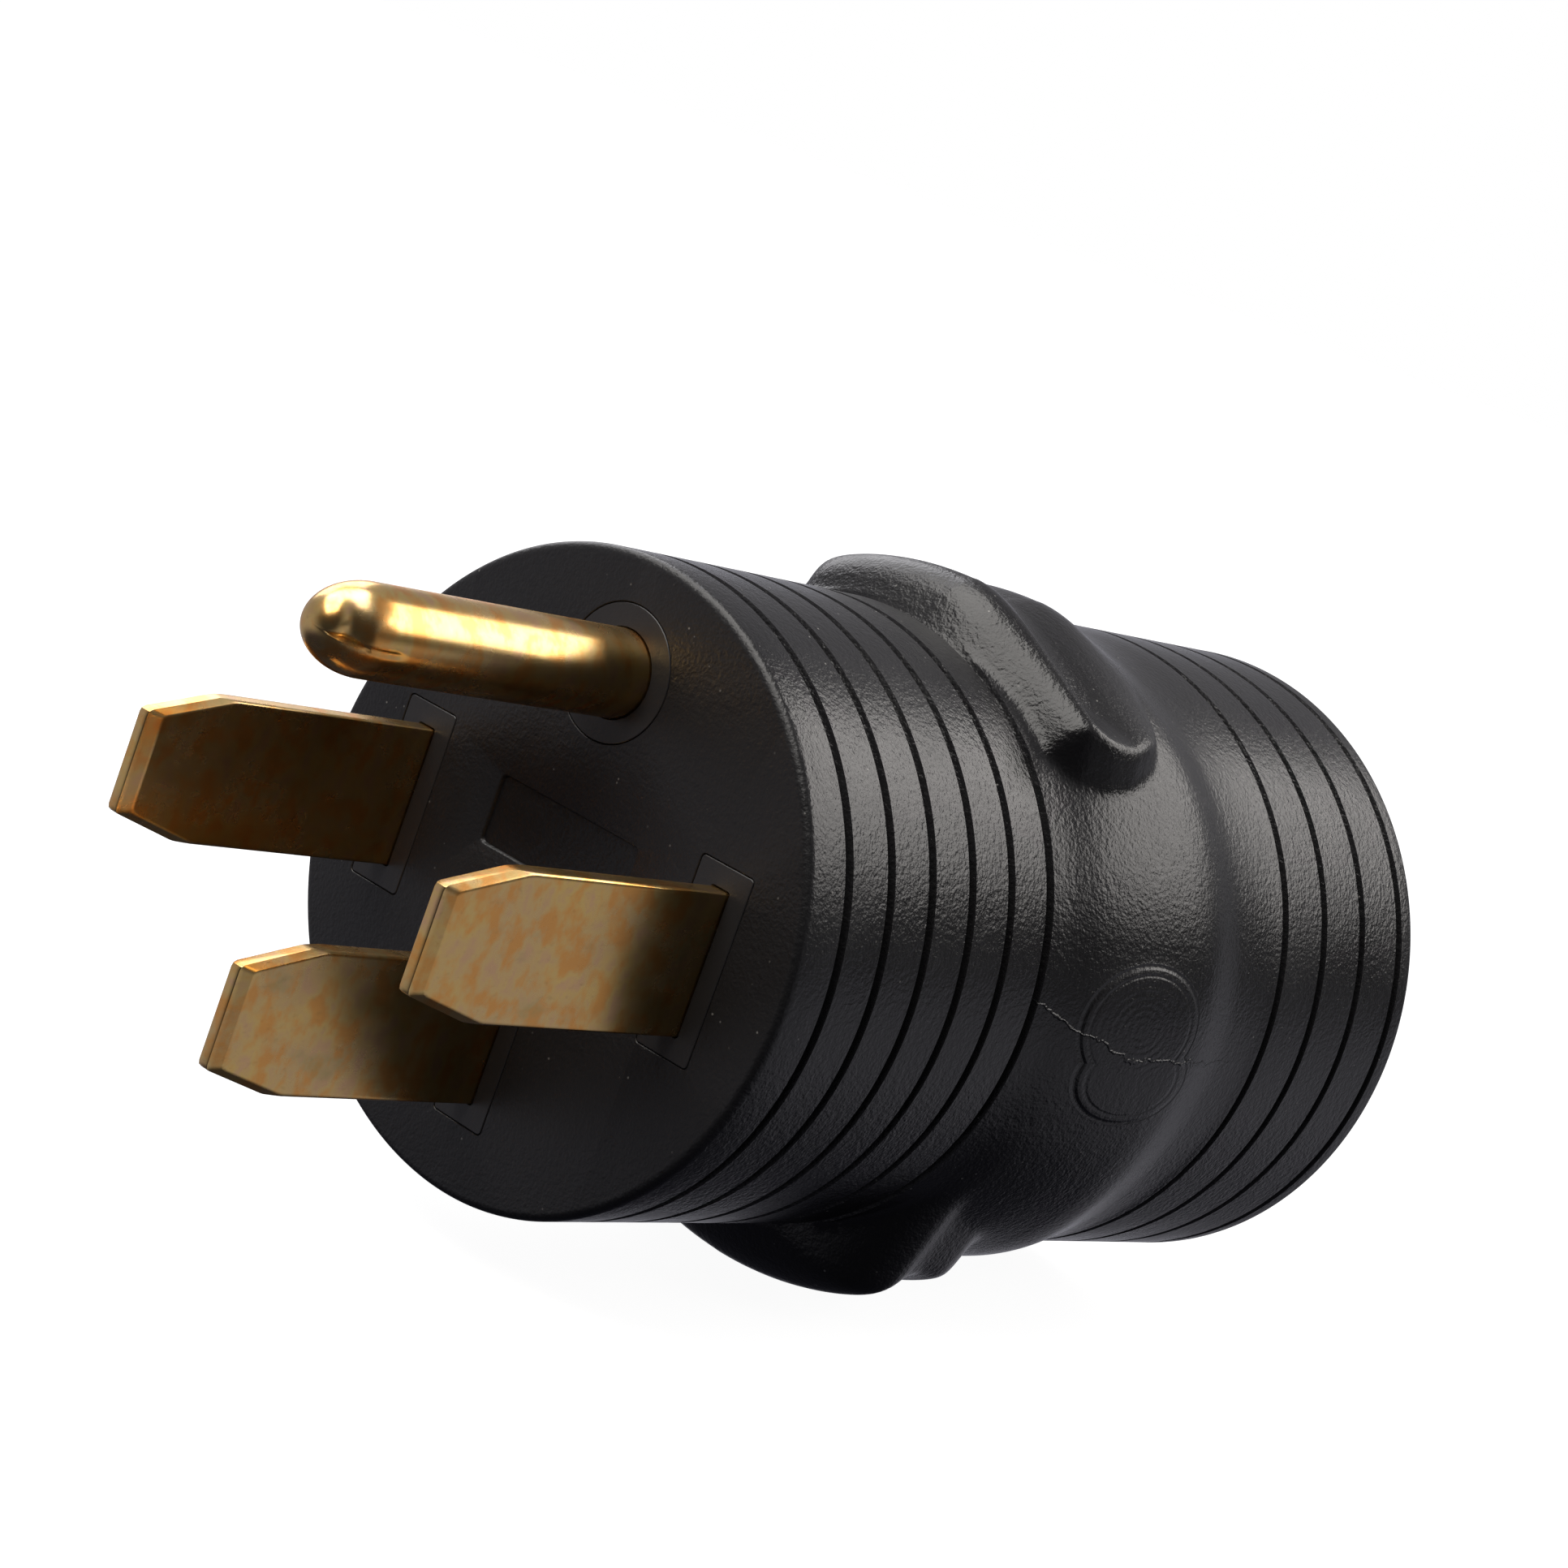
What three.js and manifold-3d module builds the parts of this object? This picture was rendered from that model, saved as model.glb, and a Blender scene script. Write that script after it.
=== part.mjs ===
// One-piece moulded power adapter: a four-prong 50 A plug in front and a 30 A three-hole socket behind.
// Millimetres, +Z up. The origin is the centre of the plug face, on the axis of the round body.
// The prongs point along -Y, the body runs along +Y, and the ground pin is the top prong.

import * as THREE from 'three';
import Module from 'manifold-3d';
import { mergeVertices } from 'three/addons/utils/BufferGeometryUtils.js';

const wasm = await Module();
wasm.setup();

// ---- Driving dimensions ----

const BODY_LENGTH = 86.5;
const FACE_RADIUS = 26.9;
const REAR_RADIUS = 28.5;
const EDGE_ROUND = 0.8;
const GAP = 0.3;
const FACE_GAP = 0.2;

const GROOVE_WIDTH = 0.95;
const GROOVE_DEPTH = 0.9;
const FRONT_GROOVES = { count: 6, first: 4.9, pitch: 5.24, radius: 26.9 };
const REAR_GROOVES = { count: 4, first: 64.7, pitch: 6.38, radius: 28.3 };

// The smooth swelling between the two grooved ends, as [distance from the face, radius].
const COLLAR = [
  [33, 27.3], [36, 28.2], [40, 29], [45, 29.6], [49, 29.8], [52, 29], [56, 28.4], [61, 28.25],
];

// Finger grips on top and bottom: a front ridge, a shallow valley and a rear step. Each section
// is an arc over the body. The ridge's arc is flatter than the body, so its ends stand proud.
// Towards +X the top grip falls along a nearly straight slope instead.
const GRIP = [
  { along: 31.6, crest: 27.4, arc: 30, half: 12.5 },
  { along: 33.2, crest: 29.6, arc: 36, half: 16 },
  { along: 35.8, crest: 31.2, arc: 37.4, half: 17.4 },
  { along: 38.5, crest: 30.8, arc: 35, half: 18 },
  { along: 42, crest: 30.3, arc: 33, half: 18 },
  { along: 45.5, crest: 30.2, arc: 32, half: 17 },
  { along: 48.5, crest: 29.6, arc: 30.5, half: 14 },
];
const GRIP_SHIFT = 2.5;
const GRIP_SLOPE = 0.48;
const GRIP_CROWN = 3;
const GRIP_WALL_LEAN = 3;
const GRIP_ROOT_HEIGHT = 17;
const GRIP_ARC_STEPS = 12;

const PIN_RADIUS = 3.6;
const PIN_BORE = 2.3;
const PIN_TIP = 33;
const PIN_NOSE = 5.6;
const PIN_HEIGHT = 17.4;
const PIN_FLANGE = 4.8;

const BLADE_WIDTH = 11.9;
const BLADE_THICKNESS = 1.78;
const HOT_BLADE_TIP = 29.6;
const NEUTRAL_BLADE_TIP = 28.8;
const BLADE_TAPER = 6.6;
const BLADE_TIP_WIDTH = 8.3;
const BLADE_BEVEL = 1.1;
const BLADE_TIP_THICKNESS = 0.8;
const HOT_OFFSET = 17.3;
const HOT_RISE = 0.3;
const NEUTRAL_DROP = 13.2;

const FACE_WALL = 3;
const BOSS_WIDTH = 5.6;
const BOSS_LENGTH = 15.6;
const PIN_BOSS_RADIUS = 5.6;
const BORE_RADIUS = 23.7;
const INSERT_RADIUS = BORE_RADIUS - GAP;

// Depth of each inner layer behind the plug face.
const PLUG_FRONT = [FACE_WALL + GAP, 9.7];
const PLUG_BACK = [10, 15];
const CORE = [15.3, 61.7];
const SOCKET_BACK = [62, 67];
const SOCKET_FRONT = [67.3, BODY_LENGTH];
const RETAINING_RIB = { start: 70, end: 73, radius: 24.8 };

const SHOULDER = { start: 6.3, end: 8.3, halfWidth: 7.4 };
const TAIL_HALF_WIDTH = 3;
const TAIL_END = 19.7;
const TAB_HALF_WIDTH = 1.2;
const TAB_END = 24.5;
const DEAD_TAIL_END = 12;

const SOCKET_SLOT = { offset: 8.6, drop: 4.2, turn: Math.PI / 4, length: 10.2, width: 2.3 };
const SOCKET_PIN = { height: 9.2, radius: 2.75 };
const SOCKET_WALL_START = 83;
const CONTACT_POCKET = { halfWidth: 3.3, halfLength: 5.3, pinRadius: 3.6 };
const CONTACT_BASE = 69;
const STRIP = 0.8;
const CONTACT_WIDTH = 9.5;
const CONTACT_TAIL_END = 60;
const CONTACT_TAB_END = 54.6;

const SLEEVE_RADIUS = 3;
const SLEEVE_BORE = 1.9;
const SLEEVE_LENGTH = 9;
const FRONT_SLEEVE = 20;
const REAR_SLEEVE = 50;
const WIRE_RADIUS = 1.5;
const INSULATION_RADIUS = 2.25;
const WIRE_ENDS = [25, 54.2];
const WIRE_BEND = [29.6, 49.4];
const CHANNEL_RADIUS = 3.3;

const ROUND_SIDES = 40;
const SMALL_SIDES = 16;
const WIRE_SIDES = 10;
const WIRE_STEPS = 10;

// ---- Materials ----

const jacketPlastic = new THREE.MeshStandardMaterial({ color: 0x1c1c1d, roughness: 0.52, metalness: 0 });
const insertPlastic = new THREE.MeshStandardMaterial({ color: 0x19191b, roughness: 0.6, metalness: 0 });
const corePlastic = new THREE.MeshStandardMaterial({ color: 0x8a8578, roughness: 0.7, metalness: 0 });
const agedBrass = new THREE.MeshStandardMaterial({ color: 0xa8843f, roughness: 0.34, metalness: 1 });
const springBrass = new THREE.MeshStandardMaterial({ color: 0xb8965a, roughness: 0.3, metalness: 1 });
const tinnedSteel = new THREE.MeshStandardMaterial({ color: 0xa9abab, roughness: 0.35, metalness: 1 });
const bareCopper = new THREE.MeshStandardMaterial({ color: 0xb06a44, roughness: 0.4, metalness: 1 });
const blackVinyl = new THREE.MeshStandardMaterial({ color: 0x202022, roughness: 0.5, metalness: 0 });
const whiteVinyl = new THREE.MeshStandardMaterial({ color: 0xd8d6cf, roughness: 0.5, metalness: 0 });
const greenVinyl = new THREE.MeshStandardMaterial({ color: 0x2f7d43, roughness: 0.5, metalness: 0 });

// ---- Closed solids ----

// Turns a closed three.js geometry into a solid that can be joined and cut.
function solidOf(geometry) {
  const bare = geometry.clone();
  bare.deleteAttribute('normal');
  bare.deleteAttribute('uv');
  const merged = mergeVertices(bare, 1e-4);
  const corners = merged.index.array;
  const faces = [];
  for (let i = 0; i < corners.length; i += 3) {
    const [a, b, c] = [corners[i], corners[i + 1], corners[i + 2]];
    if (a !== b && b !== c && c !== a) faces.push(a, b, c);
  }
  const places = merged.attributes.position;
  const [p, q, r] = [new THREE.Vector3(), new THREE.Vector3(), new THREE.Vector3()];
  let volume = 0;
  for (let i = 0; i < faces.length; i += 3) {
    p.fromBufferAttribute(places, faces[i]);
    q.fromBufferAttribute(places, faces[i + 1]);
    r.fromBufferAttribute(places, faces[i + 2]);
    volume += p.dot(q.cross(r));
  }
  if (volume < 0) faces.reverse();
  return new wasm.Manifold(new wasm.Mesh({
    numProp: 3,
    vertProperties: new Float32Array(places.array),
    triVerts: new Uint32Array(faces),
  }));
}

function geometryOf(solid) {
  const mesh = solid.getMesh();
  const geometry = new THREE.BufferGeometry();
  geometry.setAttribute('position', new THREE.BufferAttribute(new Float32Array(mesh.vertProperties), 3));
  geometry.setIndex(new THREE.BufferAttribute(new Uint32Array(mesh.triVerts), 1));
  geometry.computeVertexNormals();
  return geometry;
}

// A box between two depths along Y, centred on x and z.
function block(halfX, halfZ, start, end, x = 0, z = 0) {
  const geometry = new THREE.BoxGeometry(2 * halfX, end - start, 2 * halfZ);
  return solidOf(geometry.translate(x, (start + end) / 2, z));
}

function rod(radius, start, end, x = 0, z = 0, sides = SMALL_SIDES) {
  const geometry = new THREE.CylinderGeometry(radius, radius, end - start, sides);
  return solidOf(geometry.translate(x, (start + end) / 2, z));
}

// A profile of [radius, distance along Y] turned round the Y axis.
function turned(profile, sides = SMALL_SIDES) {
  const points = profile.map(([radius, along]) => new THREE.Vector2(radius, along));
  return solidOf(new THREE.LatheGeometry(points, sides));
}

// A flat outline of [across, along Y] points, given a thickness across the third direction.
function plate(outline, thickness) {
  const shape = new THREE.Shape(outline.map(([across, along]) => new THREE.Vector2(across, along)));
  const geometry = new THREE.ExtrudeGeometry(shape, { depth: thickness, bevelEnabled: false });
  return geometry.translate(0, 0, -thickness / 2);
}

// Skins a row of closed outlines that all have the same number of points, and caps both ends
// with a fan of triangles round the middle of the end outline.
function loft(rings) {
  const count = rings[0].length;
  const middleOf = (ring) => ring
    .reduce((sum, point) => sum.add(point), new THREE.Vector3())
    .divideScalar(count);
  const points = [...rings.flat(), middleOf(rings[0]), middleOf(rings.at(-1))];
  const last = (rings.length - 1) * count;
  const faces = [];
  for (let i = 0; i < count; i += 1) {
    const next = (i + 1) % count;
    for (let start = 0; start < last; start += count) {
      const [a, b] = [start + i, start + next];
      faces.push(a, b, a + count, b, b + count, a + count);
    }
    faces.push(next, i, last + count, last + i, last + next, last + count + 1);
  }
  const geometry = new THREE.BufferGeometry().setFromPoints(points);
  geometry.setIndex(faces);
  return solidOf(geometry);
}

// ---- Outer jacket ----

function grooveProfile({ count, first, pitch, radius }) {
  const profile = [];
  for (let i = 0; i < count; i += 1) {
    const middle = first + i * pitch;
    profile.push([radius, middle - GROOVE_WIDTH / 2]);
    profile.push([radius - GROOVE_DEPTH, middle]);
    profile.push([radius, middle + GROOVE_WIDTH / 2]);
  }
  return profile;
}

function jacketShell() {
  const outside = [
    [FACE_RADIUS - EDGE_ROUND, 0],
    [FACE_RADIUS, EDGE_ROUND],
    ...grooveProfile(FRONT_GROOVES),
    ...COLLAR.map(([along, radius]) => [radius, along]),
    ...grooveProfile(REAR_GROOVES),
    [REAR_RADIUS, BODY_LENGTH - EDGE_ROUND],
    [REAR_RADIUS - EDGE_ROUND, BODY_LENGTH],
  ];
  const rib = RETAINING_RIB;
  const inside = [
    [BORE_RADIUS, BODY_LENGTH],
    [BORE_RADIUS, rib.end + GAP],
    [rib.radius + GAP, rib.end + GAP],
    [rib.radius + GAP, rib.start - GAP],
    [BORE_RADIUS, rib.start - GAP],
    [BORE_RADIUS, FACE_WALL],
  ];
  return turned([[0, 0], ...outside, ...inside, [0, FACE_WALL]], ROUND_SIDES);
}

// One finger grip. side is 1 on top and -1 underneath.
function grip(side) {
  const rings = GRIP.map(({ along, crest, arc, half }) => {
    const reach = Math.asin(half / arc);
    const ring = [];
    for (let i = 0; i <= GRIP_ARC_STEPS; i += 1) {
      const angle = reach * (1 - 2 * i / GRIP_ARC_STEPS);
      const across = arc * Math.sin(angle);
      const curved = arc * (1 - Math.cos(angle));
      const straight = GRIP_SLOPE * (Math.hypot(across, GRIP_CROWN) - GRIP_CROWN);
      const fall = side > 0 && across > 0 ? straight : curved;
      ring.push(new THREE.Vector3(GRIP_SHIFT + across, along, side * (crest - fall)));
    }
    const root = half + GRIP_WALL_LEAN;
    ring.push(new THREE.Vector3(GRIP_SHIFT - root, along, side * GRIP_ROOT_HEIGHT));
    ring.push(new THREE.Vector3(GRIP_SHIFT + root, along, side * GRIP_ROOT_HEIGHT));
    return ring;
  });
  const bore = rod(BORE_RADIUS, 0, BODY_LENGTH, 0, 0, ROUND_SIDES);
  return loft(rings).subtract(bore);
}

// The openings in the front wall that the plug insert's raised lands fill.
function landShapes(start, end, margin) {
  const halfWidth = BOSS_WIDTH / 2 + margin;
  const halfLength = BOSS_LENGTH / 2 + margin;
  return block(halfWidth, halfLength, start, end, -HOT_OFFSET, HOT_RISE)
    .add(block(halfWidth, halfLength, start, end, HOT_OFFSET, HOT_RISE))
    .add(block(halfWidth, halfLength, start, end, 0, -NEUTRAL_DROP))
    .add(rod(PIN_BOSS_RADIUS + margin, start, end, 0, PIN_HEIGHT));
}

function outerJacket() {
  return jacketShell()
    .add(grip(1))
    .add(grip(-1))
    .subtract(landShapes(-1, FACE_WALL + 1, FACE_GAP));
}

// ---- Prongs ----

// A flat blade in the YZ plane, with a shoulder that the two plug inserts trap.
function blade(reach, tailEnd, tabEnd) {
  const half = BLADE_WIDTH / 2;
  const upper = [
    [-reach, BLADE_TIP_WIDTH / 2],
    [BLADE_TAPER - reach, half],
    [SHOULDER.start, half],
    [SHOULDER.start, SHOULDER.halfWidth],
    [SHOULDER.end, SHOULDER.halfWidth],
    [SHOULDER.end, TAIL_HALF_WIDTH],
    [tailEnd, TAIL_HALF_WIDTH],
  ];
  if (tabEnd) upper.push([tailEnd, TAB_HALF_WIDTH], [tabEnd, TAB_HALF_WIDTH]);
  const lower = upper.map(([along, across]) => [along, -across]).reverse();
  const side = plate([...upper, ...lower], BLADE_THICKNESS);
  side.applyMatrix4(new THREE.Matrix4().makeBasis(
    new THREE.Vector3(0, 1, 0), new THREE.Vector3(0, 0, 1), new THREE.Vector3(1, 0, 0)));
  const thick = BLADE_THICKNESS / 2 + GAP;
  const tip = BLADE_TIP_THICKNESS / 2;
  const bevelEnd = BLADE_BEVEL - reach;
  const end = (tabEnd || tailEnd) + 1;
  const bevelled = plate([[-tip, -reach], [tip, -reach], [BLADE_THICKNESS / 2, bevelEnd],
    [thick, bevelEnd + 1], [thick, end], [-thick, end], [-thick, bevelEnd + 1],
    [-BLADE_THICKNESS / 2, bevelEnd]], 4 * SHOULDER.halfWidth);
  return solidOf(side).intersect(solidOf(bevelled));
}

// The ground pin is a drawn brass tube with a round nose, open at its back end.
function groundPin() {
  const profile = [[0, -PIN_TIP]];
  const noseSteps = 7;
  for (let i = 1; i <= noseSteps; i += 1) {
    const angle = (i / noseSteps) * Math.PI / 2;
    profile.push([PIN_RADIUS * Math.sin(angle), -PIN_TIP + PIN_NOSE * (1 - Math.cos(angle))]);
  }
  profile.push([PIN_RADIUS, SHOULDER.start], [PIN_FLANGE, SHOULDER.start], [PIN_FLANGE, SHOULDER.end]);
  const boreEnd = PIN_NOSE - PIN_TIP;
  profile.push([PIN_BORE, SHOULDER.end], [PIN_BORE, boreEnd], [0, boreEnd - PIN_BORE]);
  const wallReach = (PIN_RADIUS + PIN_BORE) / 2;
  return turned(profile)
    .add(block(wallReach, STRIP / 2, SHOULDER.end - 3, TAIL_END))
    .add(block(TAB_HALF_WIDTH, STRIP / 2, TAIL_END - 1, TAB_END));
}

// ---- Plug inserts ----

// The clear way that the four prongs need through the plug inserts.
function prongWays(frontGap) {
  const halfThickness = BLADE_THICKNESS / 2 + frontGap;
  const halfWidth = BLADE_WIDTH / 2 + frontGap;
  const shoulderStart = SHOULDER.start - GAP;
  const way = (x, z, tailEnd) => block(halfThickness, halfWidth, -1, SHOULDER.start, x, z)
    .add(block(halfThickness, SHOULDER.halfWidth + GAP, shoulderStart, PLUG_BACK[0], x, z))
    .add(block(halfThickness, TAIL_HALF_WIDTH + GAP, SHOULDER.end, tailEnd, x, z));
  return way(-HOT_OFFSET, HOT_RISE, TAIL_END)
    .add(way(HOT_OFFSET, HOT_RISE, DEAD_TAIL_END + GAP))
    .add(way(0, -NEUTRAL_DROP, TAIL_END))
    .add(rod(PIN_RADIUS + frontGap, -1, SHOULDER.start, 0, PIN_HEIGHT))
    .add(rod(PIN_FLANGE + GAP, shoulderStart, PLUG_BACK[0], 0, PIN_HEIGHT))
    .add(rod(CHANNEL_RADIUS, SHOULDER.end, TAIL_END, 0, PIN_HEIGHT));
}

function plugInsertFront() {
  return rod(INSERT_RADIUS, ...PLUG_FRONT, 0, 0, ROUND_SIDES)
    .add(landShapes(0, PLUG_FRONT[0] + 1, 0))
    .subtract(prongWays(FACE_GAP));
}

function plugInsertBack() {
  return rod(INSERT_RADIUS, ...PLUG_BACK, 0, 0, ROUND_SIDES).subtract(prongWays(GAP));
}

// ---- Leads ----

const leadRoutes = {
  line: { from: [-HOT_OFFSET, HOT_RISE], to: [-SOCKET_SLOT.offset, -SOCKET_SLOT.drop], vinyl: blackVinyl },
  neutral: { from: [0, -NEUTRAL_DROP], to: [SOCKET_SLOT.offset, -SOCKET_SLOT.drop], vinyl: whiteVinyl },
  ground: { from: [0, PIN_HEIGHT], to: [0, SOCKET_PIN.height], vinyl: greenVinyl },
};

function bendOf({ from, to }) {
  const pull = (WIRE_BEND[1] - WIRE_BEND[0]) * 0.45;
  return new THREE.CubicBezierCurve3(
    new THREE.Vector3(from[0], WIRE_BEND[0], from[1]),
    new THREE.Vector3(from[0], WIRE_BEND[0] + pull, from[1]),
    new THREE.Vector3(to[0], WIRE_BEND[1] - pull, to[1]),
    new THREE.Vector3(to[0], WIRE_BEND[1], to[1]),
  );
}

// A round section swept along the lead's bend, hollow if a bore is given.
function sweep(route, radius, bore = 0) {
  const section = new THREE.Shape();
  section.absarc(0, 0, radius, 0, 2 * Math.PI);
  if (bore) {
    const hole = new THREE.Path();
    hole.absarc(0, 0, bore, 0, 2 * Math.PI, true);
    section.holes.push(hole);
  }
  const options = { steps: WIRE_STEPS, curveSegments: WIRE_SIDES / 2, extrudePath: bendOf(route) };
  return solidOf(new THREE.ExtrudeGeometry(section, options));
}

function conductor(route) {
  const overlap = 0.02;
  return sweep(route, WIRE_RADIUS)
    .add(rod(WIRE_RADIUS, WIRE_ENDS[0], WIRE_BEND[0] + overlap, ...route.from, WIRE_SIDES))
    .add(rod(WIRE_RADIUS, WIRE_BEND[1] - overlap, WIRE_ENDS[1], ...route.to, WIRE_SIDES));
}

function crimpSleeve() {
  return turned([[SLEEVE_BORE, 0], [SLEEVE_RADIUS, 0], [SLEEVE_RADIUS, SLEEVE_LENGTH],
    [SLEEVE_BORE, SLEEVE_LENGTH], [SLEEVE_BORE, 0]]);
}

// The inner moulding that fills the middle of the body round the three leads.
function coreFiller() {
  let core = rod(INSERT_RADIUS, ...CORE, 0, 0, ROUND_SIDES);
  for (const route of Object.values(leadRoutes)) {
    core = core
      .subtract(rod(CHANNEL_RADIUS, 0, WIRE_BEND[0] + 1, ...route.from))
      .subtract(sweep(route, INSULATION_RADIUS + GAP))
      .subtract(rod(CHANNEL_RADIUS, WIRE_BEND[1] - 1, BODY_LENGTH, ...route.to));
  }
  return core;
}

// ---- Socket ----

// Places a solid made on the Y axis at one of the two slanted slots. side is -1 or 1.
function atSlot(solid, side) {
  const degrees = THREE.MathUtils.radToDeg(side * SOCKET_SLOT.turn);
  return solid.rotate([0, degrees, 0]).translate([side * SOCKET_SLOT.offset, 0, -SOCKET_SLOT.drop]);
}

function tailWay(side) {
  return atSlot(block(STRIP / 2 + GAP, TAIL_HALF_WIDTH + GAP, 0, BODY_LENGTH - 5), side);
}

function socketInsertBack() {
  return rod(INSERT_RADIUS, ...SOCKET_BACK, 0, 0, ROUND_SIDES)
    .subtract(tailWay(-1))
    .subtract(tailWay(1))
    .subtract(block(TAIL_HALF_WIDTH + GAP, STRIP / 2 + GAP, 0, BODY_LENGTH, 0, SOCKET_PIN.height));
}

function socketInsertFace() {
  const rib = RETAINING_RIB;
  const pocket = CONTACT_POCKET;
  let insert = rod(INSERT_RADIUS, ...SOCKET_FRONT, 0, 0, ROUND_SIDES)
    .add(rod(rib.radius, rib.start, rib.end, 0, 0, ROUND_SIDES))
    .subtract(rod(pocket.pinRadius, 0, SOCKET_WALL_START, 0, SOCKET_PIN.height))
    .subtract(rod(SOCKET_PIN.radius, 0, BODY_LENGTH + 1, 0, SOCKET_PIN.height));
  const { width, length } = SOCKET_SLOT;
  for (const side of [-1, 1]) {
    insert = insert
      .subtract(atSlot(block(pocket.halfWidth, pocket.halfLength, 0, SOCKET_WALL_START), side))
      .subtract(atSlot(block(width / 2, length / 2, SOCKET_WALL_START - 1, BODY_LENGTH + 1), side));
  }
  return insert;
}

// A folded brass strip whose two leaves close on the blade, with a tail for its crimp.
function bladeContact() {
  const leaf = [
    [2.6, CONTACT_BASE],
    [2.6, CONTACT_BASE + 7],
    [1.4, CONTACT_BASE + 11.4],
    [2, CONTACT_BASE + 13.4],
    [1.2, CONTACT_BASE + 13.6],
    [0.6, CONTACT_BASE + 11.4],
    [1.8, CONTACT_BASE + 6.9],
    [1.8, CONTACT_BASE + STRIP],
  ];
  const mirrored = leaf.map(([across, along]) => [-across, along]).reverse();
  return solidOf(plate([...leaf, ...mirrored], CONTACT_WIDTH))
    .add(block(STRIP / 2, TAIL_HALF_WIDTH - GAP, CONTACT_TAIL_END, CONTACT_BASE + STRIP / 2))
    .add(block(STRIP / 2, TAB_HALF_WIDTH, CONTACT_TAB_END, CONTACT_TAIL_END + 1));
}

// A slit brass tube that grips the round ground pin.
function pinContact() {
  const mouth = CONTACT_BASE + 13.4;
  const tube = turned([[0, CONTACT_BASE], [3.1, CONTACT_BASE], [3.1, mouth - 3], [2.9, mouth - 2],
    [3.1, mouth], [2.5, mouth], [2.2, mouth - 2], [2.4, mouth - 3],
    [2.4, CONTACT_BASE + STRIP], [0, CONTACT_BASE + STRIP]]);
  return tube
    .subtract(block(0.4, 4, CONTACT_BASE + 4, BODY_LENGTH))
    .subtract(block(4, 0.4, CONTACT_BASE + 4, BODY_LENGTH))
    .add(block(TAIL_HALF_WIDTH - GAP, STRIP / 2, CONTACT_TAIL_END, CONTACT_BASE + STRIP / 2))
    .add(block(TAB_HALF_WIDTH, STRIP / 2, CONTACT_TAB_END, CONTACT_TAIL_END + 1));
}

// ---- Assembly ----

const adapter = new THREE.Group();

function addPiece(name, solid, material, place = [0, 0, 0]) {
  const mesh = new THREE.Mesh(geometryOf(solid), material);
  mesh.name = name;
  mesh.position.set(...place);
  adapter.add(mesh);
  return mesh;
}

addPiece('outer_jacket', outerJacket(), jacketPlastic);
addPiece('plug_insert_front', plugInsertFront(), insertPlastic);
addPiece('plug_insert_back', plugInsertBack(), insertPlastic);
addPiece('hot_blade_x', blade(HOT_BLADE_TIP, TAIL_END, TAB_END), agedBrass, [-HOT_OFFSET, 0, HOT_RISE]);
addPiece('hot_blade_y', blade(HOT_BLADE_TIP, DEAD_TAIL_END), agedBrass, [HOT_OFFSET, 0, HOT_RISE]);
addPiece('neutral_blade', blade(NEUTRAL_BLADE_TIP, TAIL_END, TAB_END), agedBrass, [0, 0, -NEUTRAL_DROP]);
addPiece('ground_pin', groundPin(), agedBrass, [0, 0, PIN_HEIGHT]);
addPiece('core_filler', coreFiller(), corePlastic);
addPiece('socket_insert_back', socketInsertBack(), insertPlastic);
addPiece('socket_insert_face', socketInsertFace(), insertPlastic);

for (const [name, route] of Object.entries(leadRoutes)) {
  addPiece(`${name}_lead_conductor`, conductor(route), bareCopper);
  addPiece(`${name}_lead_insulation`, sweep(route, INSULATION_RADIUS, WIRE_RADIUS + GAP), route.vinyl);
  addPiece(`${name}_front_crimp`, crimpSleeve(), tinnedSteel, [route.from[0], FRONT_SLEEVE, route.from[1]]);
  addPiece(`${name}_rear_crimp`, crimpSleeve(), tinnedSteel, [route.to[0], REAR_SLEEVE, route.to[1]]);
}

for (const [name, side] of [['line_contact', -1], ['neutral_contact', 1]]) {
  const place = [side * SOCKET_SLOT.offset, 0, -SOCKET_SLOT.drop];
  const contact = addPiece(name, bladeContact(), springBrass, place);
  contact.rotation.y = side * SOCKET_SLOT.turn;
}
addPiece('ground_contact', pinContact(), springBrass, [0, 0, SOCKET_PIN.height]);

export default adapter;
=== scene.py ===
"""Looks of a one-piece moulded power adapter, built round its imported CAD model.

Lengths named here are millimetres. Blender objects are in metres, +Z up, prongs along -Y.
The round body lies on the Y axis, so a place on it is a distance along Y and an angle from +Z towards +X.
"""

import math

import bmesh
import bpy
import numpy as np
from mathutils import Matrix, Quaternion, Vector


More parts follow.
